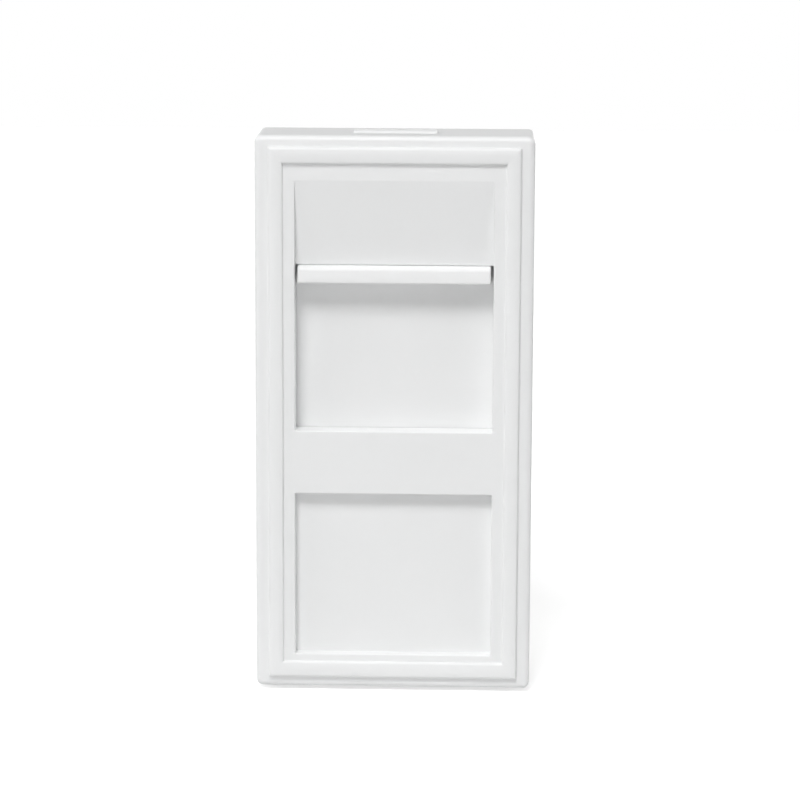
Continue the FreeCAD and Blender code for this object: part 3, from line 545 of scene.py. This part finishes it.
def moulded(groups, name, recipe):
    """A moulded plastic: two close tones, lighter broken edges and fine grain.

    Where the recipe has a wall tint, the frame's outer walls have it as painted shade, with a duller
    skin. Where it has a pin rim, the carrier's ejector marks have it."""
    material, tree, shader = new_finish(name)
    surface = use_group(tree, groups["mould_skin"], recipe["skin"])
    edge = use_group(tree, groups["soft_edge"], {"Edge Radius": recipe["edge_radius"]})
    body = mix_colours(tree, surface["Tone"], recipe["deep"], recipe["pale"])
    body = mix_colours(tree, edge["Edge"], body, recipe["edge"])
    sheen = surface["Roughness"]
    normal = edge["Normal"]
    if "wall" in recipe:
        # Painted shade: a darker colour on the frame's outer walls, apart from a painted highlight
        # strip on each nib.
        wall = outer_wall_shade_mask(tree)
        body = mix_colours(tree, wall, body, recipe["wall"])
        sheen = math_node(tree, "ADD", sheen, math_node(tree, "MULTIPLY", wall, WALL_DULLNESS))
    if "pin_rim" in recipe:
        normal, rim = ejector_marks(tree, normal)
        body = mix_colours(tree, rim, body, recipe["pin_rim"])
    grained = raise_bump(tree, surface["Height"], recipe["grain_depth"], recipe["grain"], normal)
    join(tree, body, shader.inputs["Base Color"])
    join(tree, sheen, shader.inputs["Roughness"])
    join(tree, recipe["specular"], shader.inputs["Specular IOR Level"])
    join(tree, grained, shader.inputs["Normal"])
    return material


def drawn_metal(groups, name, recipe):
    """A drawn or rolled metal: tone in patches, gloss and bump along its draw lines."""
    material, tree, shader = new_finish(name)
    surface = use_group(tree, groups["drawn_metal"], recipe["lines"])
    edge = use_group(tree, groups["soft_edge"], {"Edge Radius": METAL_EDGE_RADIUS})
    body = mix_colours(tree, surface["Tone"], recipe["dull"], recipe["bright"])
    body = mix_colours(tree, edge["Edge"], body, recipe["bright"])
    lined = raise_bump(
        tree, surface["Height"], recipe["line_depth"], recipe["line_strength"], edge["Normal"],
    )
    join(tree, body, shader.inputs["Base Color"])
    join(tree, surface["Roughness"], shader.inputs["Roughness"])
    join(tree, 1.0, shader.inputs["Metallic"])
    join(tree, lined, shader.inputs["Normal"])
    return material


def board_lacquer(groups, name):
    """Green lacquer over glass weave on the board's faces, bare tan laminate on its edges."""
    material, tree, shader = new_finish(name)
    place = split_axes(tree, object_place(tree))
    threads = []
    for axis in ("X", "Z"):
        turns = math_node(tree, "MULTIPLY", place[axis], WEAVE_SCALE)
        threads.append(math_node(tree, "SINE", turns))
    weave = ramp_value(tree, math_node(tree, "MULTIPLY", *threads), 0.0, 1.0, -1.0, 1.0)
    facing = split_axes(tree, add_node(tree, "ShaderNodeTexCoord").outputs["Normal"])
    flat = math_node(tree, "ABSOLUTE", facing["Y"])
    face = ramp_value(tree, flat, 0.0, 1.0, BARE_EDGE_FACING, LACQUERED_FACING)
    surface = use_group(tree, groups["mould_skin"], LACQUER)
    lacquer = mix_colours(tree, weave, LACQUER_DARK, LACQUER_LIGHT)
    laminate = mix_colours(tree, surface["Tone"], LAMINATE_DARK, LAMINATE_LIGHT)
    woven = raise_bump(tree, weave, WEAVE_DEPTH, WEAVE_STRENGTH)
    join(tree, mix_colours(tree, face, laminate, lacquer), shader.inputs["Base Color"])
    join(tree, surface["Roughness"], shader.inputs["Roughness"])
    join(tree, woven, shader.inputs["Normal"])
    return material


def make_finishes():
    """A material for each of the record's slots."""
    groups = {
        "mould_skin": make_mould_skin(),
        "soft_edge": make_soft_edge(),
        "drawn_metal": make_drawn_metal(),
    }
    finishes = {slot: moulded(groups, *entry) for slot, entry in MOULDINGS.items()}
    finishes.update({slot: drawn_metal(groups, *entry) for slot, entry in METALS.items()})
    finishes["board_laminate"] = board_lacquer(groups, "board_green")
    return finishes


def dress_cad_nodes(finishes):
    """Gives each CAD piece the finish of its slot."""
    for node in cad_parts.values():
        for place in node.material_slots:
            place.material = finishes[place.material.name]


def spring_height(turn, turns):
    """Height of the wire's middle after so many turns: closed end turns, open between."""
    foot = SPRING_FOOT_Z + SPRING_WIRE_RADIUS
    head = SPRING_HEAD_Z - SPRING_WIRE_RADIUS
    closed = 2 * SPRING_WIRE_RADIUS * SPRING_CLOSED_TURNS
    open_share = (turn - SPRING_CLOSED_TURNS) / (turns - 2 * SPRING_CLOSED_TURNS)
    if open_share < 0:
        return foot + closed * turn / SPRING_CLOSED_TURNS
    if open_share > 1:
        return head - closed * (turns - turn) / SPRING_CLOSED_TURNS
    return foot + closed + (head - foot - 2 * closed) * open_share


def spring_path():
    """Points along the middle of the spring's wire, from its foot to its head."""
    turns = SPRING_OPEN_TURNS + 2 * SPRING_CLOSED_TURNS
    path = []
    for step in range(turns * SPRING_STEPS_PER_TURN + 1):
        angle = math.tau * step / SPRING_STEPS_PER_TURN
        path.append(Vector((
            SPRING_RADIUS * math.cos(angle),
            SPRING_AXIS_Y + SPRING_RADIUS * math.sin(angle),
            spring_height(step / SPRING_STEPS_PER_TURN, turns),
        )))
    return path


def draw_wire(path):
    """Round wire along the spring's path, with flat cut ends."""
    wire = bmesh.new()
    rings = []
    last = len(path) - 1
    for step, middle in enumerate(path):
        run = (path[min(step + 1, last)] - path[max(step - 1, 0)]).normalized()
        outward = Vector((middle.x, middle.y - SPRING_AXIS_Y, 0.0)).normalized()
        upward = run.cross(outward)
        ring = []
        for side in range(SPRING_WIRE_SIDES):
            angle = math.tau * side / SPRING_WIRE_SIDES
            offset = math.cos(angle) * outward + math.sin(angle) * upward
            ring.append(wire.verts.new(middle + SPRING_WIRE_RADIUS * offset))
        rings.append(ring)
    for near, far in zip(rings, rings[1:]):
        for side in range(SPRING_WIRE_SIDES):
            after = (side + 1) % SPRING_WIRE_SIDES
            wall = wire.faces.new((near[side], near[after], far[after], far[side]))
            wall.smooth = True
    wire.faces.new(rings[0])
    wire.faces.new(rings[-1])
    bmesh.ops.recalc_face_normals(wire, faces=wire.faces)
    return wire


def wind_spring(finish):
    """Round spring in place of the CAD helix, on the housing."""
    spring = place_mesh("return_spring", draw_wire(spring_path()), finish)
    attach(spring, "housing")
    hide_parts("shutter_spring")
    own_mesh(spring)


scene.view_settings.view_transform = "Standard"
place_camera()
paint_sky()
hang_lamps()
lay_floor()
finishes = make_finishes()
dress_cad_nodes(finishes)
wind_spring(finishes["spring_steel"])
